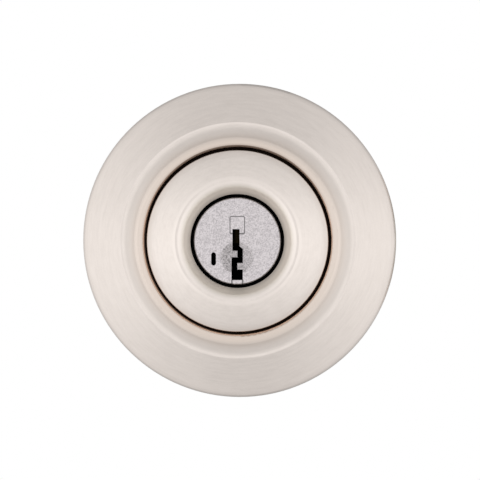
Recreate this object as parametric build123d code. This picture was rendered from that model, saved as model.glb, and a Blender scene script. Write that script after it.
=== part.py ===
from build123d import *
from math import cos, hypot, radians, sin, tan
import os

# Millimetres. The origin is on the cylinder's axis in the plane of the door's outer face.
# -Y points out of the door towards the viewer, +X towards the bolt and +Z up.

# Door that the lock is made for
door_thickness = 44.45
cross_bore_radius = 27.0
backset = 60.3
bolt_throw = 25.4
turn_degrees = 90.0

# Fits
running_gap = 0.05
slide_gap = 0.15
end_gap = 0.1

# Exterior rose
rose_cover = 4.75
rose_rim_height = 3.0
rose_rim_round = 1.6
rose_rim_wall = 2.15
rose_wall = 2.0
lip_height = 13.1
edge_round = 0.3
cove_radius = 3.25
cove_degrees = 58.0
bead_radius = 1.0
lip_width = 1.2
lip_round = 0.5

# Spinning collar
collar_radius = 18.15
collar_gap = 0.64
collar_step = 0.2
collar_edge_round = 0.4
collar_rise = 3.3
collar_dome = 0.35
collar_dome_lead = 0.2
collar_face_gap = 0.68
dish_width = 2.86
dish_round = 2.36
dish_rim_degrees = 5.0
dish_degrees = 50.0
collar_flange_width = 1.9
collar_flange_thickness = 2.3
collar_play = 0.3
flange_gap = 0.25

# Cylinder housing
nose_wall = 4.85
plate_seat = 1.8
plate_thickness = 2.0
spigot_gap = 0.4
spigot_wall = 2.0
spigot_depth = 4.0
barrel_wall = 3.85
rib_thickness = 3.0
rib_setback = 3.0
post_offset = 20.0
post_radius = 3.9
post_clear = 0.325
post_hole_depth = 12.0

# Ring that holds the housing in the rose
ring_clear = 0.35
ring_thickness = 0.8
ring_seat = 0.4
ring_groove_depth = 0.7
ring_opening = 3.0

# Plug
plug_radius = 8.1
face_flange = 0.6
face_recess = 2.4
face_thickness = 2.5
face_chamfer = 0.2
tail_step = 0.7
tail_length = 3.5
tail_clear = 0.925
clip_thickness = 0.8
clip_groove_depth = 1.0
clip_overhang = 1.4
clip_opening = 4.4
drive_depth = 2.6

# Keyway and face details, from the plug's centre
keyway_foot = 0.9
keyway_height = 10.17
slot_left = -0.97
slot_right = 0.45
key_left = -1.16
key_right = 1.1
flare_start = 3.4
flare_finish = 3.95
left_ward_start = 4.32
left_ward_finish = 5.62
right_ward_start = 6.77
right_ward_finish = 8.07
insert_width = 2.9
insert_height = 3.44
insert_round = 0.4
insert_overlap = 0.9
insert_depth = 3.2
foot_width = 2.06
guide_radius = 3.15
guide_depth = 0.45
guide_drop = 3.35
tool_slot_x = -4.74
tool_slot_z = -3.58
tool_slot_width = 0.96
tool_slot_height = 2.62
tool_slot_depth = 6.0

# Tumblers
tumbler_count = 5
tumbler_margin = 1.15
tumbler_setback = 3.26
tumbler_lift = 2.5
pin_radius = 1.4
pin_length = 3.6
pin_tip = 0.5
pin_rest = 0.05
pin_drop = 3.37
chamber_roof = 1.5
chamber_margin = 0.5
cover_thickness = 1.1
cover_width = 3.8
cover_gap = 0.02
wafer_thickness = 2.0
wafer_width = 2.8
wafer_height = 4.6
wafer_low = -1.8
wafer_notch_depth = 0.7
wafer_notch_low = 0.6
wafer_notch_gap = 0.2
spring_wall = 0.4
spring_gap = 0.2
sidebar_thickness = 1.6
sidebar_depth = 2.6
sidebar_inset = 0.15
sidebar_nose = 0.5
sidebar_groove_gap = 0.35
sidebar_travel = 0.8
sidebar_reach = 1.48

# Torque blade
blade_width = 6.0
blade_thickness = 2.4
blade_reach = 13.55
blade_tip_gap = 0.2

# Bolt and its drive
bolt_height = 16.6
bolt_thickness = 12.4
bolt_clear = 0.4
bolt_round = 1.0
bolt_recess = 0.2
bolt_chamfer = 0.5
bolt_gap = 0.1
roller_radius = 3.0
roller_setback = 7.0
roller_length = 14.5
roller_inset = 0.3
drive_pin_radius = 1.1
drive_pin_height = 10.5
drive_pin_start = -5.5
tail_plate_thickness = 1.4
tail_plate_height = 2.2
tail_plate_gap = 4.4
tail_rise = 1.6
tail_ear = 2.4
ear_wall = 0.4
ear_chamfer = 1.0
tail_block_length = 6.0
tail_block_depth = 5.5
rivet_radius = 1.2
rivet_height = 2.6
press_gap = 0.02
block_gap = 0.03
track_gap = 0.2
track_wall = 1.8
arm_gap = 0.4
hub_gap = 0.5
web_heel_degrees = 160.0
web_toe_degrees = 40.0
journal_radius = 5.9

# Bolt case and faceplate
case_wall = 1.2
case_side_gap = 0.3
case_tail = 1.9
case_lap = 4.0
sleeve_setback = 5.0
sleeve_gap = 0.44
sleeve_wall = 1.6
screw_clear_radius = 2.6
faceplate_margin = 0.3
faceplate_height = 57.15
faceplate_thickness = 2.4
faceplate_corner = 6.35
faceplate_hole_spacing = 41.3
faceplate_hole_radius = 2.2
faceplate_sink_radius = 4.2

# Interior trim
inner_rose_cover = 3.5
inner_rim_height = 3.6
inner_rose_height = 8.0
inner_rim_round = 1.4
inner_land = 3.0
inner_land_round = 1.2
inner_wall = 1.8
inner_boss_wall = 2.95
inner_plate_cover = 1.0
inner_plate_thickness = 2.0
inner_plate_clear = 2.5
inner_boss_gap = 0.3
screw_boss_radius = 5.6
screw_seat_wall = 2.2

# Thumbturn
shaft_radius = 7.0
turn_base_radius = 11.0
turn_base_height = 2.2
paddle_height = 36.0
paddle_thickness = 8.6
paddle_reach = 21.0
paddle_round = 3.0
paddle_corner = 5.5
paddle_foot = 15.4
turn_base_chamfer = 0.8
turn_tail = 1.2
turn_clip_groove = 1.4
turn_clip_opening = 4.8
turn_clip_thickness = 0.8
turn_clip_width = 3.2
washer_thickness = 0.4
washer_width = 3.2
washer_gap = 0.2

# Mounting screws
screw_radius = 2.05
screw_engagement = 9.6
screw_head_radius = 4.1
screw_head_height = 2.2
screw_slot_width = 1.1
screw_slot_depth = 1.0
screw_slot_length = 5.2
screw_head_round = 0.9
screw_head_gap = 0.3

# Sizes that follow from the ones above
mid_plane = door_thickness / 2
inner_face = door_thickness
rose_radius = cross_bore_radius + rose_cover
spigot_radius = cross_bore_radius - spigot_gap
plate_radius = spigot_radius + plate_seat
ring_inner_radius = spigot_radius + ring_clear
lip_radius = collar_radius + collar_gap
cove_angle = radians(cove_degrees)
dish_rim_angle = radians(dish_rim_degrees)
dish_angle = radians(dish_degrees)
edge_radius = lip_radius + lip_width + (cove_radius + bead_radius) * sin(cove_angle)
edge_height = lip_height - (cove_radius + bead_radius) * (1 - cos(cove_angle))
rose_ceiling = edge_height - rose_wall
collar_edge_height = lip_height + collar_step
collar_rim_height = collar_edge_height + collar_rise
face_height = collar_rim_height - face_recess
nose_height = face_height - face_thickness - end_gap
plate_back = ring_seat + ring_thickness
plate_front = plate_back + plate_thickness
plug_bore = plug_radius + running_gap
nose_radius = plug_bore + nose_wall
barrel_radius = plug_bore + barrel_wall
flange_top = rose_ceiling - flange_gap
flange_bottom = flange_top - collar_flange_thickness
shoulder_height = flange_bottom - collar_play
flange_radius = collar_radius + collar_flange_width
face_radius = plug_radius + face_flange
collar_bore = face_radius + collar_face_gap
collar_rim_radius = collar_bore + dish_width
case_half = bolt_thickness / 2 + case_side_gap
case_outer = case_half + case_wall
case_top = bolt_height / 2 + bolt_gap + case_wall
case_rear = -(post_offset + screw_clear_radius + case_tail)
post_end = mid_plane - case_outer - post_clear
tail_end = mid_plane - case_outer - tail_clear
barrel_end = tail_end - tail_length + end_gap
tail_radius = plug_radius - tail_step
clip_back = barrel_end + end_gap
keyway_bottom = keyway_foot - face_radius
keyway_top = keyway_bottom + keyway_height
pin_x = (slot_left + slot_right) / 2
pin_hole_radius = pin_radius + slide_gap
first_tumbler = insert_depth + tumbler_margin + pin_hole_radius - face_height
last_tumbler = barrel_end - tumbler_setback
tumbler_pitch = (last_tumbler - first_tumbler) / (tumbler_count - 1)
pin_floor = keyway_top - pin_drop
keyway_end = last_tumbler + pin_hole_radius + chamber_margin
chamber_top = plug_radius - chamber_roof
wafer_right = pin_x - pin_radius
wafer_left = wafer_right - wafer_width
sleeve_end = backset - faceplate_thickness
bolt_front = backset - bolt_recess
bolt_rear = post_offset + screw_clear_radius + bolt_clear
sleeve_start = bolt_rear + sleeve_setback
sleeve_inner = hypot(bolt_thickness, bolt_height) / 2 + sleeve_gap
sleeve_radius = sleeve_inner + sleeve_wall
faceplate_width = 2 * (sleeve_radius + faceplate_margin)
tail_half = tail_plate_gap / 2 + tail_plate_thickness
tail_top = bolt_height / 2 + tail_rise
tail_bottom = tail_top - tail_plate_height
hub_radius = tail_bottom - hub_gap
arm_half = tail_plate_gap / 2 - arm_gap
inner_rose_radius = cross_bore_radius + inner_rose_cover
inner_plate_radius = cross_bore_radius + inner_plate_cover
inner_land_radius = turn_base_radius + inner_land
shaft_bore = shaft_radius + running_gap
inner_boss_radius = shaft_bore + inner_boss_wall
inner_plate_bore = inner_boss_radius + inner_plate_clear
inner_boss_low = inner_plate_thickness + inner_boss_gap
screw_seat = inner_plate_thickness + screw_seat_wall
screw_tip = post_end - screw_engagement
turn_start = inner_face + inner_rose_height + washer_thickness + end_gap
turn_clip_top = inner_face + inner_boss_low - end_gap
blade_end = inner_face + blade_reach


def turned(sketch):
    return revolve(sketch, Axis.Y)


def outline(*points):
    return make_face(Polyline(*points, close=True))


def soften(sketch, point, radius):
    return fillet(sketch.vertices().sort_by_distance((*point, 0))[0], radius)


def prism_y(sketch, y0, y1):
    return extrude(Plane.XZ.offset(-y1) * sketch, y1 - y0)


def prism_x(sketch, x0, x1):
    return extrude(Plane.YZ.offset(x0) * sketch, x1 - x0)


def rod_y(radius, y0, y1, x=0, z=0):
    return prism_y(Pos(x, z) * Circle(radius), y0, y1)


def rod_z(radius, z0, z1, x=0, y=0):
    return extrude(Plane.XY.offset(z0) * Pos(x, y) * Circle(radius), z1 - z0)


def block(x0, x1, y0, y1, z0, z1):
    return Pos((x0 + x1) / 2, (y0 + y1) / 2, (z0 + z1) / 2) * Box(x1 - x0, y1 - y0, z1 - z0)


def washer(inner, outer, y0, y1):
    return rod_y(outer, y0, y1) - rod_y(inner, y0, y1)


def tumbler_positions():
    return [first_tumbler + tumbler_pitch * i for i in range(tumbler_count)]


# Exterior trim and housing


def cove_point(angle):
    return edge_radius - cove_radius * sin(angle), -edge_height - cove_radius * (1 - cos(angle))


def bead_point(angle):
    return lip_radius + lip_width + bead_radius * sin(angle), bead_radius * (1 - cos(angle)) - lip_height


def exterior_rose():
    cone = Vector(edge_radius - rose_radius, edge_height - rose_rim_height)
    inward = Vector(-cone.Y, cone.X).normalized() * rose_wall
    low = Vector(rose_radius, rose_rim_height) + inward
    slope = cone.X / cone.Y
    ceiling_radius = low.X + slope * (rose_ceiling - low.Y)
    rim_inner = rose_radius - rose_rim_wall
    rim_top = low.Y + (rim_inner - low.X) / slope
    corner = (rose_radius, -rose_rim_height)
    edge = (edge_radius, -edge_height)
    lip = (lip_radius, -lip_height)
    cove = ThreePointArc(edge, cove_point(cove_angle / 2), cove_point(cove_angle))
    bead = ThreePointArc(cove @ 1, bead_point(cove_angle / 2), bead_point(0))
    front = Polyline((rose_radius, 0), corner, edge)
    back = Polyline(
        bead @ 1,
        lip,
        (lip_radius, -rose_ceiling),
        (ceiling_radius, -rose_ceiling),
        (rim_inner, -rim_top),
        (rim_inner, 0),
        (rose_radius, 0),
    )
    section = make_face(front + cove + bead + back)
    section = soften(section, corner, rose_rim_round)
    section = soften(section, edge, edge_round)
    section = soften(section, lip, lip_round)
    groove = washer(rim_inner - end_gap, rim_inner + ring_groove_depth, -plate_back, -ring_seat)
    return turned(section) - groove


def rose_retaining_ring():
    outer = rose_radius - rose_rim_wall + ring_groove_depth - running_gap
    ring = washer(ring_inner_radius, outer, -plate_back, -ring_seat)
    half = ring_opening / 2
    return ring - block(-half, half, -plate_back, -ring_seat, -2 * outer, 0)


def dish_point(angle):
    x = collar_rim_radius - dish_round * (sin(angle) - sin(dish_rim_angle))
    return x, dish_round * (cos(dish_rim_angle) - cos(angle)) - collar_rim_height


def spin_collar():
    rim = (collar_rim_radius, -collar_rim_height)
    edge = (collar_radius, -collar_edge_height)
    crown_x = (rim[0] + edge[0]) / 2 + collar_dome_lead
    crown_y = (rim[1] + edge[1]) / 2 - collar_dome
    dome = ThreePointArc(edge, (crown_x, crown_y), rim)
    middle = dish_point((dish_rim_angle + dish_angle) / 2)
    foot = dish_point(dish_angle)
    dish = ThreePointArc(rim, middle, foot)
    seat = nose_radius + running_gap
    inside = Polyline(
        foot,
        (collar_bore, foot[1] + (foot[0] - collar_bore) * tan(dish_angle)),
        (collar_bore, -(nose_height + collar_play)),
        (seat, -(nose_height + collar_play)),
        (seat, -flange_bottom),
        (flange_radius, -flange_bottom),
        (flange_radius, -flange_top),
        (collar_radius, -flange_top),
        edge,
    )
    section = make_face(dome + dish + inside)
    section = soften(section, edge, collar_edge_round)
    return turned(section)


def cylinder_housing():
    body = outline(
        (0, -nose_height),
        (nose_radius, -nose_height),
        (nose_radius, -shoulder_height),
        (flange_radius, -shoulder_height),
        (flange_radius, -plate_front),
        (plate_radius, -plate_front),
        (plate_radius, -plate_back),
        (spigot_radius, -plate_back),
        (spigot_radius, spigot_depth),
        (spigot_radius - spigot_wall, spigot_depth),
        (spigot_radius - spigot_wall, -plate_back),
        (barrel_radius, -plate_back),
        (barrel_radius, barrel_end),
        (0, barrel_end),
    )
    housing = turned(body)
    for x in (-post_offset, post_offset):
        housing += rod_y(post_radius, -plate_back, post_end, x)
    half = rib_thickness / 2
    housing += block(-post_offset, post_offset, -plate_back, barrel_end - rib_setback, -half, half)
    for x in (-post_offset, post_offset):
        housing -= rod_y(screw_radius + running_gap, post_end - post_hole_depth, post_end, x)
    housing -= rod_y(plug_bore, -nose_height, barrel_end)
    reach = plug_radius + sidebar_travel + sidebar_groove_gap
    half = sidebar_thickness / 2 + slide_gap
    y0, y1 = sidebar_span()
    housing -= block(-reach, 0, y0 - slide_gap, y1 + slide_gap, -half, half)
    return housing - block(-half, half, y0 - slide_gap, y1 + slide_gap, 0, reach)


def sidebar_span():
    return first_tumbler - sidebar_reach, last_tumbler + sidebar_reach


# Plug and tumblers


def keyway_sketch():
    return outline(
        (slot_left, keyway_top),
        (slot_right, keyway_top),
        (slot_right, keyway_top - flare_start),
        (key_right, keyway_top - flare_finish),
        (key_right, keyway_top - right_ward_start),
        (0, keyway_top - right_ward_start),
        (0, keyway_top - right_ward_finish),
        (key_right, keyway_top - right_ward_finish),
        (key_right, keyway_bottom),
        (key_left, keyway_bottom),
        (key_left, keyway_top - left_ward_finish),
        (0, keyway_top - left_ward_finish),
        (0, keyway_top - left_ward_start),
        (slot_left, keyway_top - left_ward_start),
    )


def keyway_cut():
    return prism_y(keyway_sketch(), -face_height, keyway_end)


def key_guide():
    cone = outline((0, -face_height), (guide_radius, -face_height), (0, -face_height + guide_depth))
    return Pos(0, 0, -guide_drop) * turned(cone)


def face_blank():
    neck = -nose_height - end_gap
    section = outline((0, -face_height), (face_radius, -face_height), (face_radius, neck), (0, neck))
    section = chamfer(section.vertices().sort_by_distance((face_radius, -face_height, 0))[0], face_chamfer)
    return turned(section)


def upper_insert_sketch():
    low = keyway_top - insert_overlap
    return Pos(0, low + insert_height / 2) * RectangleRounded(insert_width, insert_height, insert_round)


def lower_insert_block():
    half = foot_width / 2
    return block(-half, half, -face_height, -face_height + insert_depth, -face_radius, keyway_bottom)


def upper_face_insert():
    blank = prism_y(upper_insert_sketch(), -face_height, -face_height + insert_depth)
    return blank - keyway_cut()


def lower_face_insert():
    return lower_insert_block() & face_blank()


def plug():
    body = face_blank() + rod_y(plug_radius, -nose_height - end_gap, barrel_end - end_gap)
    body += rod_y(tail_radius, barrel_end - end_gap, tail_end)
    groove_floor = tail_radius - clip_groove_depth
    body -= washer(groove_floor, tail_radius, clip_back, clip_back + clip_thickness)
    body -= keyway_cut()
    body -= key_guide()
    body -= prism_y(upper_insert_sketch(), -face_height, -face_height + insert_depth)
    body -= lower_insert_block()
    tool_slot = Pos(tool_slot_x, tool_slot_z) * SlotOverall(tool_slot_height, tool_slot_width, 90)
    body -= prism_y(tool_slot, -face_height, -face_height + tool_slot_depth)
    for y in tumbler_positions():
        body -= rod_z(pin_hole_radius, pin_floor, chamber_top, pin_x, y)
        body -= wafer_pocket(y)
    half = sidebar_thickness / 2 + running_gap
    y0, y1 = sidebar_span()
    body -= block(-plug_radius, wafer_left, y0 - running_gap, y1 + running_gap, -half, half)
    y0, y1 = cover_span()
    half = cover_width / 2
    body -= block(pin_x - half, pin_x + half, y0, y1, chamber_top, plug_radius)
    return body - drive_recess()


def wafer_pocket(y):
    half = wafer_thickness / 2 + slide_gap
    low = wafer_low - slide_gap
    high = wafer_low + wafer_height + tumbler_lift + slide_gap
    return block(wafer_left - slide_gap, pin_x, y - half, y + half, low, high)


def drive_recess():
    reach = hypot(blade_width, blade_thickness) / 2 + slide_gap
    slot = blade_thickness + 2 * slide_gap
    bar = Rectangle(slot, 2 * reach) + Rectangle(2 * reach, slot)
    corner = Pos(reach / 2, reach / 2) * Rectangle(reach, reach)
    other = Pos(-reach / 2, -reach / 2) * Rectangle(reach, reach)
    shape = (bar + corner + other) & Circle(reach)
    return prism_y(shape, tail_end - drive_depth, tail_end)


def plug_clip():
    inside = tail_radius - clip_groove_depth + running_gap
    outside = plug_bore + clip_overhang
    ring = washer(inside, outside, clip_back, clip_back + clip_thickness)
    half = clip_opening / 2
    return ring - block(-half, half, clip_back, clip_back + clip_thickness, -2 * outside, 0)


def cover_span():
    margin = pin_hole_radius + chamber_margin
    return first_tumbler - margin, last_tumbler + margin


def tumbler_cover():
    y0, y1 = cover_span()
    half = cover_width / 2 - cover_gap
    top = chamber_top + cover_thickness
    return block(pin_x - half, pin_x + half, y0 + cover_gap, y1 - cover_gap, chamber_top, top)


def tumbler_pin(y):
    low = pin_floor + pin_rest
    tip = extrude(Plane.XY.offset(low) * Pos(pin_x, y) * Circle(pin_radius - pin_tip), pin_tip, taper=-45)
    return tip + rod_z(pin_radius, low + pin_tip, low + pin_length, pin_x, y)


def tumbler_wafer(y):
    half = wafer_thickness / 2
    body = block(wafer_left, wafer_right, y - half, y + half, wafer_low, wafer_low + wafer_height)
    low = wafer_low + wafer_notch_low
    high = low + sidebar_thickness + 2 * wafer_notch_gap
    return body - block(wafer_left, wafer_left + wafer_notch_depth, y - half, y + half, low, high)


def tumbler_spring(y):
    low = pin_floor + pin_rest + pin_length
    outer = pin_radius - spring_gap
    return rod_z(outer, low, chamber_top, pin_x, y) - rod_z(outer - spring_wall, low, chamber_top, pin_x, y)


def sidebar():
    half = sidebar_thickness / 2
    y0, y1 = sidebar_span()
    outer = sidebar_inset - plug_radius
    bar = block(outer, outer + sidebar_depth, y0, y1, -half, half)
    return chamfer(bar.edges().filter_by(Axis.Y).group_by(Axis.X)[0], sidebar_nose)


# Turning train and bolt


def torque_blade():
    y0 = tail_end - drive_depth + blade_tip_gap
    half = blade_thickness / 2
    return block(-half, half, y0, blade_end, -blade_width / 2, blade_width / 2)


def blade_slot(y0, y1):
    half = blade_thickness / 2 + end_gap
    return block(-half, half, y0, y1, -blade_width / 2 - end_gap, blade_width / 2 + end_gap)


def track_point(share):
    angle = radians(turn_degrees * share)
    x = drive_pin_start + bolt_throw * share
    return x * cos(angle) - drive_pin_height * sin(angle), x * sin(angle) + drive_pin_height * cos(angle)


def track_line():
    first = ThreePointArc(track_point(0), track_point(0.25), track_point(0.5))
    second = ThreePointArc(track_point(0.5), track_point(0.75), track_point(1))
    return Wire([first.edge(), second.edge()])


def hub_point(degrees):
    return hub_radius * cos(radians(degrees)), hub_radius * sin(radians(degrees))


def bolt_cam():
    track = 2 * (drive_pin_radius + track_gap)
    start, middle = track_point(0), track_point(0.5)
    web = outline(
        hub_point(web_heel_degrees),
        (start[0] - track_wall, start[1]),
        (middle[0] + track_wall, middle[1]),
        hub_point(web_toe_degrees),
    )
    arm = SlotArc(track_line(), track + 2 * track_wall) + web
    cam = prism_y(arm, mid_plane - arm_half, mid_plane + arm_half)
    half = case_half - end_gap
    cam += rod_y(hub_radius, mid_plane - half, mid_plane + half)
    cam += rod_y(journal_radius, mid_plane - case_outer, mid_plane + case_outer)
    cam -= prism_y(SlotArc(track_line(), track), mid_plane - arm_half, mid_plane + arm_half)
    return cam - blade_slot(mid_plane - case_outer, mid_plane + case_outer)


def drive_pin():
    return drive_pin_rod(drive_pin_radius)


def drive_pin_rod(radius):
    return rod_y(radius, mid_plane - tail_half, mid_plane + tail_half, drive_pin_start, drive_pin_height)


def bolt_tail():
    rear = drive_pin_start - tail_ear
    front = bolt_rear + tail_block_length
    middle = Pos((rear + front) / 2, (tail_top + tail_bottom) / 2)
    shape = middle * Rectangle(front - rear, tail_plate_height)
    ear_top = drive_pin_height + drive_pin_radius + ear_wall
    ear_front = rear + 2 * tail_ear
    shape += outline(
        (rear, tail_bottom),
        (rear, ear_top - ear_chamfer),
        (rear + ear_chamfer, ear_top),
        (ear_front - ear_chamfer, ear_top),
        (ear_front, ear_top - ear_chamfer),
        (ear_front, tail_bottom),
    )
    tail = prism_y(shape, mid_plane - tail_half, mid_plane + tail_half)
    gap = tail_plate_gap / 2
    tail -= block(rear, bolt_rear, mid_plane - gap, mid_plane + gap, tail_bottom, ear_top)
    low = tail_top - tail_block_depth
    tail += block(bolt_rear, front, mid_plane - tail_half, mid_plane + tail_half, low, tail_top)
    return tail - drive_pin_rod(drive_pin_radius + press_gap) - rivet_rod(rivet_radius + press_gap)


def rivet_rod(radius):
    x = bolt_rear + tail_block_length / 2
    z = tail_top - tail_block_depth + rivet_height
    half = bolt_thickness / 2
    return rod_y(radius, mid_plane - half, mid_plane + half, x, z)


def bolt_rivet():
    return rivet_rod(rivet_radius)


def bolt():
    section = Pos(mid_plane, 0) * RectangleRounded(bolt_thickness, bolt_height, bolt_round)
    bar = prism_x(section, bolt_rear, bolt_front)
    bar = chamfer(bar.faces().sort_by(Axis.X)[-1].edges(), bolt_chamfer)
    half = tail_half + block_gap
    front = bolt_rear + tail_block_length + block_gap
    low = tail_top - tail_block_depth - block_gap
    bar -= block(bolt_rear, front, mid_plane - half, mid_plane + half, low, bolt_height / 2)
    bar -= rivet_rod(rivet_radius + press_gap)
    return bar - roller_rod(roller_radius + running_gap, bolt_height / 2)


def roller_rod(radius, drop):
    top = roller_length - bolt_height / 2
    return rod_z(radius, -drop, top, bolt_front - roller_setback, mid_plane)


def bolt_roller_pin():
    return roller_rod(roller_radius, bolt_height / 2 - roller_inset)


def bolt_case():
    end = sleeve_start + case_lap
    low = mid_plane - case_outer
    channel = block(case_rear, end, low, mid_plane + case_outer, -case_top, case_top)
    floor = case_wall - case_top
    channel -= block(case_rear, end, mid_plane - case_half, mid_plane + case_half, floor, case_top)
    bore = Pos(mid_plane, 0) * Circle(sleeve_inner)
    tube = Pos(mid_plane, 0) * Circle(sleeve_radius)
    rear = channel & block(case_rear, sleeve_start, low, mid_plane + case_outer, -case_top, case_top)
    lap = channel & prism_x(tube, sleeve_start, end)
    case = rear + lap + prism_x(tube - bore, sleeve_start, sleeve_end)
    case -= rod_y(journal_radius + running_gap, low, mid_plane + case_outer)
    for x in (-post_offset, post_offset):
        case -= rod_y(screw_clear_radius, low, mid_plane + case_outer, x)
    return case


def faceplate():
    plate = Pos(mid_plane, 0) * RectangleRounded(faceplate_width, faceplate_height, faceplate_corner)
    window = RectangleRounded(
        bolt_thickness + 2 * slide_gap, bolt_height + 2 * slide_gap, bolt_round
    )
    body = prism_x(plate - Pos(mid_plane, 0) * window, sleeve_end, backset)
    sink = faceplate_sink_radius - faceplate_hole_radius
    for z in (-faceplate_hole_spacing / 2, faceplate_hole_spacing / 2):
        hole = Plane.YZ.offset(sleeve_end) * Pos(mid_plane, z)
        body -= extrude(hole * Circle(faceplate_hole_radius), faceplate_thickness)
        mouth = Plane.YZ.offset(backset) * Pos(mid_plane, z) * Circle(faceplate_sink_radius)
        body -= extrude(mouth, -sink, taper=45)
    return body


# Interior trim


def inner(radius, height):
    return radius, inner_face + height


def dome_height(radius):
    share = (inner_rose_radius - radius) / (inner_rose_radius - inner_land_radius)
    return inner_rim_height + share * (inner_rose_height - inner_rim_height)


def interior_rose():
    rim = inner(inner_rose_radius, inner_rim_height)
    land = inner(inner_land_radius, inner_rose_height)
    wall_radius = inner_rose_radius - inner_wall
    section = outline(
        inner(shaft_bore, inner_rose_height),
        land,
        rim,
        inner(inner_rose_radius, 0),
        inner(wall_radius, 0),
        inner(wall_radius, dome_height(wall_radius) - inner_wall),
        inner(inner_land_radius, inner_rose_height - inner_wall),
        inner(inner_boss_radius, inner_rose_height - inner_wall),
        inner(inner_boss_radius, inner_boss_low),
        inner(shaft_bore, inner_boss_low),
    )
    section = soften(section, rim, inner_rim_round)
    section = soften(section, land, inner_land_round)
    rose = turned(section)
    low = inner_face + inner_plate_thickness
    seat = inner_face + screw_seat
    top = inner_face + inner_rose_height
    for x in (-post_offset, post_offset):
        rose += rod_y(screw_boss_radius, low, seat, x)
        rose -= rod_y(screw_head_radius + screw_head_gap, seat, top, x)
        rose -= rod_y(screw_radius + slide_gap, low, top, x)
    return rose


def interior_plate():
    y1 = inner_face + inner_plate_thickness
    plate = washer(inner_plate_bore, inner_plate_radius, inner_face, y1)
    for x in (-post_offset, post_offset):
        plate -= rod_y(screw_radius + slide_gap, inner_face, y1, x)
    return plate


def thumbturn():
    clip_low = turn_clip_top - turn_clip_thickness
    shaft = rod_y(shaft_radius, clip_low - turn_tail, turn_start)
    shaft -= washer(shaft_radius - turn_clip_groove, shaft_radius, clip_low, turn_clip_top)
    base_top = turn_start + turn_base_height
    base = rod_y(turn_base_radius, turn_start, base_top)
    base = chamfer(base.edges().sort_by(Axis.Y)[-1], turn_base_chamfer)
    end = base_top + paddle_reach
    foot = paddle_foot / 2
    half = paddle_height / 2
    side = outline((-foot, turn_start), (foot, turn_start), (half, end), (-half, end))
    side = soften(side, (half, end), paddle_corner)
    side = soften(side, (-half, end), paddle_corner)
    plane = Plane((0, 0, 0), x_dir=(0, 0, 1), z_dir=(-1, 0, 0))
    paddle = extrude(plane * side, paddle_thickness / 2, both=True)
    paddle = fillet(paddle.faces().filter_by(Axis.X).edges(), paddle_round)
    return shaft + base + paddle - blade_slot(clip_low - turn_tail, blade_end + end_gap)


def thumbturn_clip():
    clip_low = turn_clip_top - turn_clip_thickness
    inside = shaft_radius - turn_clip_groove + running_gap
    outside = inside + turn_clip_width
    half = turn_clip_opening / 2
    ring = washer(inside, outside, clip_low, turn_clip_top)
    return ring - block(-half, half, clip_low, turn_clip_top, -2 * outside, 0)


def thumbturn_washer():
    y0 = inner_face + inner_rose_height
    inside = shaft_radius + washer_gap
    return washer(inside, inside + washer_width, y0, y0 + washer_thickness)


def mounting_screw(x):
    seat = inner_face + screw_seat
    screw = rod_y(screw_radius, screw_tip, seat, x)
    head = rod_y(screw_head_radius, seat, seat + screw_head_height, x)
    head = fillet(head.edges().sort_by(Axis.Y)[-1], screw_head_round)
    top = seat + screw_head_height
    cross = Rectangle(screw_slot_length, screw_slot_width) + Rectangle(screw_slot_width, screw_slot_length)
    head -= prism_y(Pos(x, 0) * cross, top - screw_slot_depth, top)
    return screw + head


def mounting_screws():
    return Compound(children=[mounting_screw(x) for x in (-post_offset, post_offset)])


def pieces():
    built = {
        "exterior_rose": exterior_rose(),
        "rose_retaining_ring": rose_retaining_ring(),
        "spin_collar": spin_collar(),
        "cylinder_housing": cylinder_housing(),
        "plug": plug(),
        "upper_face_insert": upper_face_insert(),
        "lower_face_insert": lower_face_insert(),
        "plug_clip": plug_clip(),
        "tumbler_cover": tumbler_cover(),
        "sidebar": sidebar(),
        "torque_blade": torque_blade(),
        "bolt_cam": bolt_cam(),
        "drive_pin": drive_pin(),
        "bolt_tail": bolt_tail(),
        "bolt_rivet": bolt_rivet(),
        "bolt": bolt(),
        "bolt_roller_pin": bolt_roller_pin(),
        "bolt_case": bolt_case(),
        "faceplate": faceplate(),
        "interior_rose": interior_rose(),
        "interior_plate": interior_plate(),
        "thumbturn": thumbturn(),
        "thumbturn_clip": thumbturn_clip(),
        "thumbturn_washer": thumbturn_washer(),
        "mounting_screws": mounting_screws(),
    }
    for number, y in enumerate(tumbler_positions(), 1):
        built[f"tumbler_pin_{number}"] = tumbler_pin(y)
        built[f"tumbler_wafer_{number}"] = tumbler_wafer(y)
        built[f"tumbler_spring_{number}"] = tumbler_spring(y)
    return built


os.makedirs("parts", exist_ok=True)
for name, shape in pieces().items():
    export_step(shape, f"parts/{name}.step")
    print(f"{name}: {len(shape.solids())} solid, {shape.volume:.1f} mm3")
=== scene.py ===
import math

import bmesh
import bpy
from mathutils import Matrix, Vector

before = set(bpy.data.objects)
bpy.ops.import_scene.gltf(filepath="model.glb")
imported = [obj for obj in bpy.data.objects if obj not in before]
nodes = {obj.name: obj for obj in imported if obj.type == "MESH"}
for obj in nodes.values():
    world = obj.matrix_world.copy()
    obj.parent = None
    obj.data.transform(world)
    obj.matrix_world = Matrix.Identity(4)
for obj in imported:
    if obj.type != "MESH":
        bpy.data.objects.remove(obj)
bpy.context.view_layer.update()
print("frame loaded:", len(nodes), "nodes")


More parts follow.
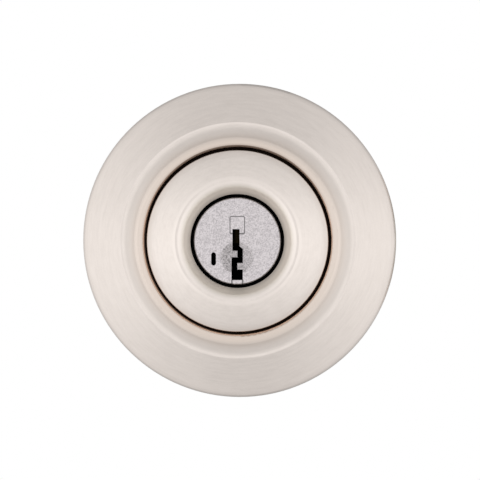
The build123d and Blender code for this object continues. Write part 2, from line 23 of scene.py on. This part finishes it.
class Signal:
    # one output socket, with arithmetic that adds Math nodes

    def __init__(self, graph, socket):
        self.graph = graph
        self.socket = socket

    def __add__(self, other):
        return self.graph.math("ADD", self, other)

    def __radd__(self, other):
        return self.graph.math("ADD", other, self)

    def __sub__(self, other):
        return self.graph.math("SUBTRACT", self, other)

    def __rsub__(self, other):
        return self.graph.math("SUBTRACT", other, self)

    def __mul__(self, other):
        return self.graph.math("MULTIPLY", self, other)

    def __rmul__(self, other):
        return self.graph.math("MULTIPLY", other, self)

    def __truediv__(self, other):
        return self.graph.math("DIVIDE", self, other)

    def __rtruediv__(self, other):
        return self.graph.math("DIVIDE", other, self)

    def __neg__(self):
        return self.graph.math("MULTIPLY", self, -1)

    def sqrt(self):
        return self.graph.math("SQRT", self)

    def size(self):
        return self.graph.math("ABSOLUTE", self)

    def above(self, least):
        return self.graph.math("MAXIMUM", self, least)

    def ramp(self, low, high):
        return self.graph.node(
            "ShaderNodeMapRange",
            {"interpolation_type": "SMOOTHSTEP"},
            {"Value": self, "From Min": low, "From Max": high, "To Min": 0.0, "To Max": 1.0},
            "Result",
        )

    def inside(self, limit, blend):
        # 0 from the limit up, and 1 where the value is lower by the blend
        return (limit - self).ramp(0.0, blend)


class Graph:
    # a node tree that is filled by calls

    def __init__(self, tree):
        self.tree = tree
        tree.nodes.clear()

    def node(self, kind, settings, inputs, output=0):
        made = self.tree.nodes.new(kind)
        for key, value in settings.items():
            setattr(made, key, value)
        for key, value in inputs.items():
            socket = made.inputs[key]
            if isinstance(value, Signal):
                self.tree.links.new(value.socket, socket)
            else:
                socket.default_value = value
        if made.outputs:
            return Signal(self, made.outputs[output])

    def math(self, operation, *values):
        return self.node("ShaderNodeMath", {"operation": operation}, dict(enumerate(values)))

    def place(self, space="Object"):
        at = self.node("ShaderNodeTexCoord", {}, {}, space)
        split = self.node("ShaderNodeSeparateXYZ", {}, {"Vector": at})
        return [Signal(self, socket) for socket in split.socket.node.outputs]

    def point(self, x, y, z):
        return self.node("ShaderNodeCombineXYZ", {}, {"X": x, "Y": y, "Z": z})

    def noise(self, at, scale, detail, roughness):
        inputs = {"Vector": at, "Scale": scale, "Detail": detail, "Roughness": roughness}
        return self.node("ShaderNodeTexNoise", {}, inputs)

    def mix(self, share, low, high):
        low, high = [color if isinstance(color, Signal) else (*color, 1.0) for color in (low, high)]
        return self.node("ShaderNodeMix", {"data_type": "RGBA"}, {0: share, 6: low, 7: high}, 2)

    def flatten(self, share):
        # the surface normal, turned to face straight out of the door by the share
        turn = {"vector_type": "NORMAL", "convert_from": "OBJECT", "convert_to": "WORLD"}
        outward = self.node("ShaderNodeVectorTransform", turn, {"Vector": (0, -1, 0)})
        own = self.node("ShaderNodeNewGeometry", {}, {}, "Normal")
        return self.node("ShaderNodeMix", {"data_type": "VECTOR"}, {0: share, 4: own, 5: outward}, 1)

    def bump(self, height, strength, distance, normal=None):
        inputs = {"Height": height, "Strength": strength, "Distance": distance}
        if normal:
            inputs["Normal"] = normal
        return self.node("ShaderNodeBump", {}, inputs, "Normal")

    def finish(self, surface, kind="ShaderNodeOutputMaterial"):
        self.node(kind, {}, {"Surface": surface})


def newMaterial(name):
    material = bpy.data.materials.new(name)
    material.use_nodes = True
    return material, Graph(material.node_tree)


def paint(graph, color, roughness, metallic, normal, glow=None):
    inputs = {"Base Color": color, "Roughness": roughness, "Metallic": metallic, "Normal": normal}
    if glow:
        inputs.update({"Emission Color": glow, "Emission Strength": 1.0})
    graph.finish(graph.node("ShaderNodeBsdfPrincipled", {}, inputs))


def dress(material, *names):
    for name in names:
        mesh = nodes[name].data
        mesh.materials.clear()
        mesh.materials.append(material)


# satin nickel, brushed round the lock's axis; the inner trim has it plain

nickel = {
    "light": (0.805, 0.737, 0.690),
    "deep": (0.715, 0.652, 0.608),
    "middle": 0.62,
    "lines": {"across": 3000.0, "round": 1.6, "detail": 3.0, "roughness": 0.7, "weight": 0.48},
    "streaks": {"across": 700.0, "round": 3.0, "detail": 2.0, "roughness": 0.6, "weight": 0.45},
    "mottle": {"across": 1300.0, "round": 8.0, "detail": 2.0, "roughness": 0.6, "weight": 0.85},
    "grain": {"scale": 2600.0, "detail": 1.0, "roughness": 0.5, "weight": 0.35},
    "cloud": {"scale": 45.0, "detail": 2.0, "roughness": 0.5, "weight": 0.6},
    "lean": 0.45,  # how far the brushing follows depth as well as radius
    "roughness": 0.33,
    "streakRoughness": 0.12,
    "grainRoughness": 0.08,
    "brushing": 0.11,
    "brushDepth": 0.00012,
}


def roundBrushed(name, zones=None):
    material, graph = newMaterial(name)
    x, y, z = graph.place()
    at = graph.point(x, y, z)
    radius = (x * x + z * z).sqrt()
    across = radius + y * nickel["lean"]
    right = x / radius
    up = z / radius
    seen = {}
    shade = nickel["middle"]
    for key in ("lines", "streaks", "mottle", "grain", "cloud"):
        look = nickel[key]
        if "round" in look:
            turned = graph.point(across * look["across"], right * look["round"], up * look["round"])
            seen[key] = graph.noise(turned, 1.0, look["detail"], look["roughness"])
        else:
            seen[key] = graph.noise(at, look["scale"], look["detail"], look["roughness"])
        shade = shade + (seen[key] - 0.5) * look["weight"]
    color = graph.mix(shade.ramp(0.0, 1.0), nickel["deep"], nickel["light"])
    roughness = nickel["roughness"] + (seen["streaks"] - 0.5) * nickel["streakRoughness"]
    roughness = roughness + (seen["grain"] - 0.5) * nickel["grainRoughness"]
    finish = {"color": color, "roughness": roughness, "metallic": 1.0, "normal": None, "glow": None}
    if zones:
        zones(graph, finish, radius, y, up)
    height = seen["lines"] * 0.7 + seen["streaks"] * 0.3
    normal = graph.bump(height, nickel["brushing"], nickel["brushDepth"], finish["normal"])
    paint(graph, finish["color"], finish["roughness"], finish["metallic"], normal, finish["glow"])
    return material


def fineLand(graph, finish, land, radius, y, up):
    # a narrow ring that faces straight out, with a painted highlight on the ring and on its shoulders
    # beside it
    offset = (radius - up * land["rise"] - land["radius"]).size()
    beside = offset.ramp(0.7 * land["half"], 1.3 * land["half"])
    facing = (1.0 - beside) * y.inside(land["front"], land["blend"])
    shoulder = beside * (1.0 - offset.ramp(0.5 * land["reach"], land["reach"]))
    # painted highlight: the land colour is mixed in by the shine on the ring and by the shoulder share
    # beside it
    paintedHighlight = facing * land["shine"] + shoulder * land["shoulder"]
    finish["color"] = graph.mix(paintedHighlight, finish["color"], land["color"])
    finish["normal"] = graph.flatten(facing)


# rose: painted shade in the cove and on the rim, a warm lip whose crest has painted shade at top and bottom
# and whose inner edge has painted shade, a matt brown wall as painted shade that fades into near black
# painted shade in the gap, with a painted glow low down, and a land on the cove's edge with a painted
# highlight; the rises show the play that lifts these lines in the photo

roseLook = {
    # painted shade colour: it darkens the cove, less so at top and bottom, the lip's crest at top and
    # bottom, and the rim
    "cove": (0.50, 0.455, 0.42),
    "coveFrom": (0.0197, 0.0205),
    "coveTo": (0.0233, 0.001),
    "coveShare": 0.54,
    "coveEase": 0.14,
    "crestFrom": (0.0188, 0.0192),
    "crestTo": (0.0206, 0.0008),
    "crestShare": 0.9,
    "rim": (0.0304, 0.0316),
    "rimShare": 0.25,
    "warm": (0.77, 0.66, 0.58),
    "warmTo": (0.0226, 0.0032),
    "warmShare": 0.7,
    # painted shade along the lip's inner edge by the gap, reaching farther out at the top and less far at
    # the bottom
    "lip": (0.50, 0.42, 0.365),
    "lipEdge": 0.0195,
    "lipBlend": 0.0007,
    "lipShare": 0.75,
    "lipRise": 0.00025,
    # painted shade on the lip's inner wall: matt brown in place of the metal, fading with depth and toward
    # the top into the near black depth colour
    "wall": (0.72, 0.50, 0.375),
    "wallEdge": 0.0190,
    "wallBlend": 0.0001,
    "wallFade": (-0.0127, -0.0067),
    "topShade": 0.78,
    "depth": (0.010, 0.006, 0.0045),
    # painted light: a faint glow on the lower part of the lip's inner wall, though it is no lamp
    "glow": (0.115, 0.074, 0.052),
    "glowTurn": (-0.2, 0.6),
}
roseLand = {
    # the land colour is mixed in as a painted highlight, by the shine on the ring
    "color": (0.86, 0.787, 0.737),
    "radius": 0.02342,
    "rise": 0.00017,
    "half": 0.0002,
    "front": -0.0098,
    "blend": 0.0005,
    "shine": 0.2,
    "reach": 0.0008,
    "shoulder": 0.0,
}


def roseZones(graph, finish, radius, y, up):
    steep = up * up
    cove = radius.ramp(*roseLook["coveFrom"]) * radius.inside(*roseLook["coveTo"])
    crest = radius.ramp(*roseLook["crestFrom"]) * radius.inside(*roseLook["crestTo"])
    # painted shade: the cove, less so at top and bottom, the lip's crest at top and bottom, and the rim
    paintedShade = cove * (roseLook["coveShare"] - steep * roseLook["coveEase"])
    paintedShade = paintedShade + crest * steep * roseLook["crestShare"]
    paintedShade = paintedShade + radius.ramp(*roseLook["rim"]) * roseLook["rimShare"]
    color = graph.mix(paintedShade, finish["color"], roseLook["cove"])
    warm = radius.inside(*roseLook["warmTo"]) * roseLook["warmShare"]
    color = graph.mix(warm, color, roseLook["warm"])
    # painted shade along the lip's inner edge, reaching farther out at the top and less far at the bottom
    lip = radius.inside(up * roseLook["lipRise"] + roseLook["lipEdge"], roseLook["lipBlend"])
    color = graph.mix(lip * roseLook["lipShare"], color, roseLook["lip"])
    # painted shade on the lip's inner wall: matt brown, its zone reaching farther out at the top, fading
    # with depth and toward the top into near black
    edge = up.above(0.0) * roseLook["lipRise"] + roseLook["wallEdge"]
    wall = radius.inside(edge, roseLook["wallBlend"])
    paintedGapShade = y.ramp(*roseLook["wallFade"]).above(up.ramp(0.0, 1.0) * roseLook["topShade"])
    # painted light: a glow on the lower part of the wall, away from its near black top and depth
    paintedGlowShare = wall * (1.0 - paintedGapShade) * (1.0 - up.ramp(*roseLook["glowTurn"]))
    finish["glow"] = graph.mix(paintedGlowShare, (0.0, 0.0, 0.0), roseLook["glow"])
    finish["color"] = graph.mix(wall, color, graph.mix(paintedGapShade, roseLook["wall"], roseLook["depth"]))
    finish["metallic"] = 1.0 - wall
    fineLand(graph, finish, roseLand, radius, y, up)


# collar: painted shade on the outer edge, a duller olive dish with painted shade that darkens it to the
# plug, a near black skirt as painted shade in the gap to the rose, a near black bore, and a land on the
# dish's rim with a painted highlight on its shoulders

collarLook = {
    # painted shade on the collar's outer edge
    "edge": (0.50, 0.42, 0.365),
    "edgeFrom": (0.0166, 0.0181),
    "edgeShare": 0.25,
    "olive": (0.78, 0.722, 0.64),
    "oliveTo": (0.0117, 0.0012),
    "oliveShare": 0.8,
    # painted shade in the dish, darkening it toward the plug
    "dish": (0.50, 0.457, 0.405),
    "dishTo": (0.0103, 0.0009),
    "dishShare": 0.7,
    "dullTo": (0.0114, 0.001),
    "dulling": 0.13,
    # near black: painted shade on the skirt in the gap to the rose, and the colour of the bore round the
    # plug
    "depth": (0.010, 0.006, 0.0045),
    "skirtFrom": (0.01798, 0.01808),
    "skirtDepth": (-0.0129, -0.0124),
    "boreTo": (0.0096, 0.0001),
    "boreDepth": (-0.0140, -0.0138),
}
collarLand = {
    # the land colour is mixed in as a painted highlight, by the shoulder share beside the ring
    "color": (0.86, 0.787, 0.737),
    "radius": 0.01213,
    "rise": 0.0,
    "half": 0.00022,
    "front": -0.0155,
    "blend": 0.0005,
    "shine": 0.0,
    "reach": 0.0010,
    "shoulder": 0.6,
}


def collarZones(graph, finish, radius, y, up):
    # painted shade on the collar's outer edge
    edge = radius.ramp(*collarLook["edgeFrom"]) * collarLook["edgeShare"]
    color = graph.mix(edge, finish["color"], collarLook["edge"])
    olive = radius.inside(*collarLook["oliveTo"]) * collarLook["oliveShare"]
    color = graph.mix(olive, color, collarLook["olive"])
    # painted shade in the dish, darkening it toward the plug
    dish = radius.inside(*collarLook["dishTo"]) * collarLook["dishShare"]
    color = graph.mix(dish, color, collarLook["dish"])
    # the skirt in the gap to the rose is near black as painted shade; the bore round the plug is near black
    # too
    skirt = radius.ramp(*collarLook["skirtFrom"]) * y.ramp(*collarLook["skirtDepth"])
    bore = radius.inside(*collarLook["boreTo"]) * y.ramp(*collarLook["boreDepth"])
    finish["color"] = graph.mix(skirt + bore, color, collarLook["depth"])
    finish["roughness"] = finish["roughness"] + radius.inside(*collarLook["dullTo"]) * collarLook["dulling"]
    fineLand(graph, finish, collarLand, radius, y, up)


dress(roundBrushed("satinNickelRose", roseZones), "exterior_rose")
dress(roundBrushed("satinNickelCollar", collarZones), "spin_collar")
dress(roundBrushed("satinNickelInner"), "interior_rose", "thumbturn")
print("nickel done")

# plug face: speckled satin, with fine dark joints round the inserts, a key dimple with painted shade,
# painted shade deep in the keyway, and near black on its side in the gap round it

plugLook = {
    "light": (0.74, 0.695, 0.708),
    "deep": (0.46, 0.43, 0.44),
    "faceLift": 0.58,
    "insertLift": 0.57,
    "speckScale": 3900.0,
    "speckWeight": 2.4,
    "patchScale": 800.0,
    "patchWeight": 0.35,
    "roughness": 0.46,
    "speckRoughness": 0.2,
    "speckBump": 0.16,
    "speckDepth": 0.00008,
    "joint": (0.10, 0.096, 0.096),
    "jointShare": 0.85,
    "jointCore": 0.00004,
    "jointReach": 0.00014,
    "jointThicken": 0.0001,
    "jointThickFrom": (0.0012, 0.0017),
    "insertHalf": 0.00145,
    "insertMiddle": 0.00319,
    "insertRise": 0.00172,
    "insertRound": 0.0003,
    "footHalf": 0.00108,
    "footJoint": (0.00008, 0.0002),
    "footTo": (-0.0077, 0.0001),
    # painted shade in the key dimple, lighter on its right side
    "dimpleLight": (0.56, 0.525, 0.53),
    "dimpleDeep": (0.18, 0.168, 0.17),
    "dimpleHeight": -0.00335,
    "dimpleRadius": 0.00315,
    "dimpleDepth": 0.00045,
    "dimpleEdge": (0.94, 1.12),
    "dimpleTurn": (-0.001, 0.002),
    "dimpleLift": 0.3,
    # near black: painted shade deep in the keyway and tool slot, and the colour of the plug's side in the
    # gap round it
    "black": (0.004, 0.004, 0.004),
    "face": 0.0142,
    "holeSink": (0.0001, 0.0003),
    "edge": (0.00862, 0.00868),
    "edgeSink": (0.0001, 0.00022),
}


def jointShare(x, z):
    # a rounded square round the upper insert, thicker at its foot, and two short lines at the lower one
    side = x.size()
    rise = z - plugLook["insertMiddle"]
    corner = plugLook["insertRound"]
    over = (side - plugLook["insertHalf"] + corner).above(0.0)
    out = (rise.size() - plugLook["insertRise"] + corner).above(0.0)
    square = (over * over + out * out).sqrt() - corner
    reach = plugLook["jointReach"] + (-rise).ramp(*plugLook["jointThickFrom"]) * plugLook["jointThicken"]
    upper = 1.0 - square.size().ramp(plugLook["jointCore"], reach)
    foot = 1.0 - (side - plugLook["footHalf"]).size().ramp(*plugLook["footJoint"])
    return upper + foot * z.inside(*plugLook["footTo"])


def plugMaterial(name, lift):
    material, graph = newMaterial(name)
    x, y, z = graph.place()
    at = graph.point(x, y, z)
    speck = graph.noise(at, plugLook["speckScale"], 2.0, 0.6)
    patch = graph.noise(at, plugLook["patchScale"], 2.0, 0.5)
    shade = (speck - 0.5) * plugLook["speckWeight"] + (patch - 0.5) * plugLook["patchWeight"] + lift
    shade = shade.ramp(0.0, 1.0)
    color = graph.mix(shade, plugLook["deep"], plugLook["light"])
    # painted shade in the key dimple, lighter on its right side by the lift
    paintedDimpleShade = graph.mix(shade, plugLook["dimpleDeep"], plugLook["dimpleLight"])
    drop = z - plugLook["dimpleHeight"]
    away = (x * x + drop * drop).sqrt() / plugLook["dimpleRadius"]
    kept = away.ramp(*plugLook["dimpleEdge"]) + x.ramp(*plugLook["dimpleTurn"]) * plugLook["dimpleLift"]
    color = graph.mix(kept, paintedDimpleShade, color)
    color = graph.mix(jointShare(x, z) * plugLook["jointShare"], color, plugLook["joint"])
    radius = (x * x + z * z).sqrt()
    depth = y + plugLook["face"]
    cone = (1.0 - away).above(0.0) * plugLook["dimpleDepth"]
    # painted shade: near black in the keyway and tool slot, below the face and the dimple
    hole = (depth - cone).ramp(*plugLook["holeSink"])
    edge = radius.ramp(*plugLook["edge"]) * depth.ramp(*plugLook["edgeSink"])
    color = graph.mix(hole.above(edge), color, plugLook["black"])
    roughness = plugLook["roughness"] + (speck - 0.5) * plugLook["speckRoughness"]
    normal = graph.bump(speck, plugLook["speckBump"], plugLook["speckDepth"])
    paint(graph, color, roughness, 1.0, normal)
    return material


dress(plugMaterial("plugFace", plugLook["faceLift"]), "plug")
dress(plugMaterial("plugInsert", plugLook["insertLift"]), "upper_face_insert", "lower_face_insert")
print("plug done")

# working metals: light and deep colour, roughness, grain scale and grain depth

workshop = {
    "casting": ((0.33, 0.33, 0.335), (0.25, 0.25, 0.255), 0.55, 900.0, 0.25),
    "plated": ((0.62, 0.61, 0.57), (0.5, 0.5, 0.48), 0.36, 500.0, 0.1),
    "spring": ((0.3, 0.29, 0.28), (0.2, 0.19, 0.18), 0.42, 800.0, 0.1),
    "brass": ((0.75, 0.56, 0.26), (0.62, 0.44, 0.18), 0.34, 700.0, 0.1),
    # brass darkened as painted shade, for the pins seen deep in the keyway
    "brassPaintedShade": ((0.06, 0.043, 0.02), (0.03, 0.022, 0.01), 0.6, 700.0, 0.1),
    "hardened": ((0.26, 0.26, 0.27), (0.18, 0.18, 0.19), 0.3, 900.0, 0.08),
}
worked = {"grain": 2.2, "cloud": 0.15, "contrast": 0.9, "spread": 0.15, "bump": 0.00012}


def workedMetal(name, gapShare=None):
    light, deep, rough, scale, strength = workshop[name]
    material, graph = newMaterial(name)
    x, y, z = graph.place()
    at = graph.point(x, y, z)
    grain = graph.noise(at, scale * worked["grain"], 3.0, 0.6)
    cloud = graph.noise(at, scale * worked["cloud"], 2.0, 0.5)
    uneven = (grain - 0.5) + (cloud - 0.5)
    color = graph.mix((uneven * worked["contrast"] + 0.5).ramp(0.0, 1.0), deep, light)
    if gapShare:
        color = graph.mix(gapShare((x * x + z * z).sqrt(), y), color, plugLook["black"])
    paint(graph, color, rough + uneven * worked["spread"], 1.0, graph.bump(grain, strength, worked["bump"]))
    return material


# the housing's nose is painted near black in the gap round the plug

noseGap = {"radiusTo": (0.0099, 0.0002), "heightTo": (-0.0105, 0.0004)}


def noseShare(radius, y):
    return radius.inside(*noseGap["radiusTo"]) * y.inside(*noseGap["heightTo"])


tumblers = range(1, 6)
dress(workedMetal("casting", noseShare), "cylinder_housing")
dress(workedMetal("plated"), "torque_blade", "bolt_cam", "bolt_case", "interior_plate", "bolt_tail")
dress(
    workedMetal("spring"),
    "rose_retaining_ring",
    "plug_clip",
    "thumbturn_clip",
    *[f"tumbler_spring_{i}" for i in tumblers],
)
dress(workedMetal("brass"), "tumbler_cover", *[f"tumbler_wafer_{i}" for i in tumblers])
# the pins are darkened as painted shade in the keyway
dress(workedMetal("brassPaintedShade"), *[f"tumbler_pin_{i}" for i in tumblers])
dress(workedMetal("hardened"), "bolt_roller_pin", "bolt_rivet", "drive_pin", "sidebar")

straightBrush = {
    "light": (0.805, 0.737, 0.690),
    "deep": (0.70, 0.638, 0.595),
    "across": 2600.0,
    "along": 40.0,
    "lineWeight": 0.9,
    "grainScale": 2000.0,
    "grainWeight": 0.4,
    "middle": 0.6,
    "roughness": 0.32,
    "lineRoughness": 0.14,
    "brushing": 0.12,
    "brushDepth": 0.00012,
}


def straightBrushed(name):
    material, graph = newMaterial(name)
    x, y, z = graph.place()
    across = straightBrush["across"]
    lines = graph.noise(graph.point(x * across, y * across, z * straightBrush["along"]), 1.0, 3.0, 0.7)
    grain = graph.noise(graph.point(x, y, z), straightBrush["grainScale"], 1.0, 0.5)
    shade = (lines - 0.5) * straightBrush["lineWeight"] + (grain - 0.5) * straightBrush["grainWeight"]
    shade = (shade + straightBrush["middle"]).ramp(0.0, 1.0)
    color = graph.mix(shade, straightBrush["deep"], straightBrush["light"])
    roughness = straightBrush["roughness"] + (lines - 0.5) * straightBrush["lineRoughness"]
    normal = graph.bump(lines, straightBrush["brushing"], straightBrush["brushDepth"])
    paint(graph, color, roughness, 1.0, normal)
    return material


dress(straightBrushed("satinNickelFlat"), "faceplate", "bolt", "mounting_screws")

nylonLook = {
    "light": (0.82, 0.80, 0.74),
    "deep": (0.72, 0.70, 0.64),
    "grainScale": 900.0,
    "roughness": 0.45,
    "grainRoughness": 0.15,
    "bump": 0.08,
    "bumpDepth": 0.0001,
}


def nylonMaterial():
    material, graph = newMaterial("nylon")
    grain = graph.noise(graph.point(*graph.place()), nylonLook["grainScale"], 2.0, 0.5)
    color = graph.mix(grain, nylonLook["deep"], nylonLook["light"])
    roughness = nylonLook["roughness"] + grain * nylonLook["grainRoughness"]
    paint(graph, color, roughness, 0.0, graph.bump(grain, nylonLook["bump"], nylonLook["bumpDepth"]))
    return material


dress(nylonMaterial(), "thumbturn_washer")
print("working metals done")

# white floor with a soft shadow, and a white wall in the plane of the door's outer face;
# the wall is open behind the rose and is seen from the front only

studio = {
    "size": 3.0,
    "floorHeight": -0.06,
    "floorGlow": 0.33,
    "floorColor": (0.8, 0.8, 0.8, 1),
    "wallPlane": 0.0002,
    "wallOpening": 0.02,
    "white": (1, 1, 1, 1),
}


def stagePlate(name, matrix, opening, material):
    build = bmesh.new()
    bmesh.ops.create_grid(build, x_segments=1, y_segments=1, size=studio["size"], matrix=matrix)
    if opening:
        middle = build.faces[:]
        rim = studio["size"] - opening
        bmesh.ops.inset_region(
            build, faces=middle, use_boundary=True, use_even_offset=True, thickness=rim
        )
        bmesh.ops.delete(build, geom=middle, context="FACES_ONLY")
    mesh = bpy.data.meshes.new(name)
    build.to_mesh(mesh)
    build.free()
    mesh.materials.append(material)
    plate = bpy.data.objects.new(name, mesh)
    bpy.context.scene.collection.objects.link(plate)
    return plate


def wallMaterial():
    material, graph = newMaterial("wallWhite")
    back = graph.node("ShaderNodeNewGeometry", {}, {}, "Backfacing")
    white = graph.node("ShaderNodeEmission", {}, {"Color": studio["white"], "Strength": 1.0})
    clear = graph.node("ShaderNodeBsdfTransparent", {}, {})
    graph.finish(graph.node("ShaderNodeMixShader", {}, {0: back, 1: white, 2: clear}))
    return material


def floorMaterial():
    material, graph = newMaterial("floorWhite")
    glow = {"Color": studio["white"], "Strength": studio["floorGlow"]}
    white = graph.node("ShaderNodeEmission", {}, glow)
    matt = graph.node("ShaderNodeBsdfDiffuse", {}, {"Color": studio["floorColor"]})
    graph.finish(graph.node("ShaderNodeAddShader", {}, {0: white, 1: matt}))
    return material


floor = stagePlate("floor", Matrix.Translation((0, 0, studio["floorHeight"])), 0.0, floorMaterial())
upright = Matrix.Translation((0, studio["wallPlane"], 0)) @ Matrix.Rotation(math.radians(90), 4, "X")
wall = stagePlate("wall", upright, studio["wallOpening"], wallMaterial())
hiddenFrom = ("diffuse", "glossy", "transmission", "volume_scatter", "shadow")
for name in hiddenFrom:
    setattr(wall, f"visible_{name}", False)
for name in hiddenFrom[:2]:
    setattr(floor, f"visible_{name}", False)
print("studio done")

# world: white to the camera, and to the metal a soft tent that is brighter in front and at the sides

tent = {
    "base": 0.815,
    "front": 0.16,
    "sides": 0.34,
    "left": 0.02,
    "low": 0.02,
    "behind": 0.2,
    "behindFrom": (0.2, 0.7),
    "corners": 0.17,
    "soften": 0.05,
}


def worldTree():
    world = bpy.data.worlds.new("tent")
    bpy.context.scene.world = world
    world.use_nodes = True
    graph = Graph(world.node_tree)
    x, y, z = graph.place("Generated")
    across = x * x
    aside = across + z * z + tent["soften"]
    corners = x.size() * z.above(0.0) / aside
    glow = tent["base"] - y * tent["front"] + across / aside * tent["sides"]
    glow = glow - x * tent["left"] - z * tent["low"]
    glow = glow - y.ramp(*tent["behindFrom"]) * tent["behind"] - corners * tent["corners"]
    camera = graph.node("ShaderNodeLightPath", {}, {}, "Is Camera Ray")
    strength = glow * (1.0 - camera) + camera
    sky = graph.node("ShaderNodeBackground", {}, {"Color": studio["white"], "Strength": strength})
    graph.finish(sky, "ShaderNodeOutputWorld")


worldTree()

# one large lamp overhead for the floor's shadow

lampLook = {"place": (-0.25, -0.2, 1.2), "size": 0.7, "power": 2.5}
lampData = bpy.data.lights.new("overhead", "AREA")
lampData.size = lampLook["size"]
lampData.energy = lampLook["power"]
lamp = bpy.data.objects.new("overhead", lampData)
lamp.location = lampLook["place"]
lamp.rotation_euler = (-lamp.location).to_track_quat("-Z", "Y").to_euler()
lamp.visible_camera = False
lamp.visible_glossy = False
bpy.context.scene.collection.objects.link(lamp)

# camera at the photo's viewpoint, a little right of and above the axis

viewpoint = {
    "azimuth": 2.1,
    "elevation": 0.5,
    "distance": 0.75,
    "lens": 277.7,
    "sensor": 36.0,
    "nearest": 0.01,
    "aim": (0.00013, -0.003, 0.0001),
}
azimuth = math.radians(viewpoint["azimuth"])
elevation = math.radians(viewpoint["elevation"])
direction = Vector(
    (
        math.sin(azimuth) * math.cos(elevation),
        -math.cos(azimuth) * math.cos(elevation),
        math.sin(elevation),
    )
)
cameraData = bpy.data.cameras.new("camera")
cameraData.lens = viewpoint["lens"]
cameraData.sensor_width = viewpoint["sensor"]
cameraData.clip_start = viewpoint["nearest"]
camera = bpy.data.objects.new("camera", cameraData)
bpy.context.scene.collection.objects.link(camera)
aim = Vector(viewpoint["aim"])
camera.location = aim + direction * viewpoint["distance"]
camera.rotation_euler = (-direction).to_track_quat("-Z", "Y").to_euler()
bpy.context.scene.camera = camera
bpy.context.scene.view_settings.view_transform = "Standard"
print("camera done")
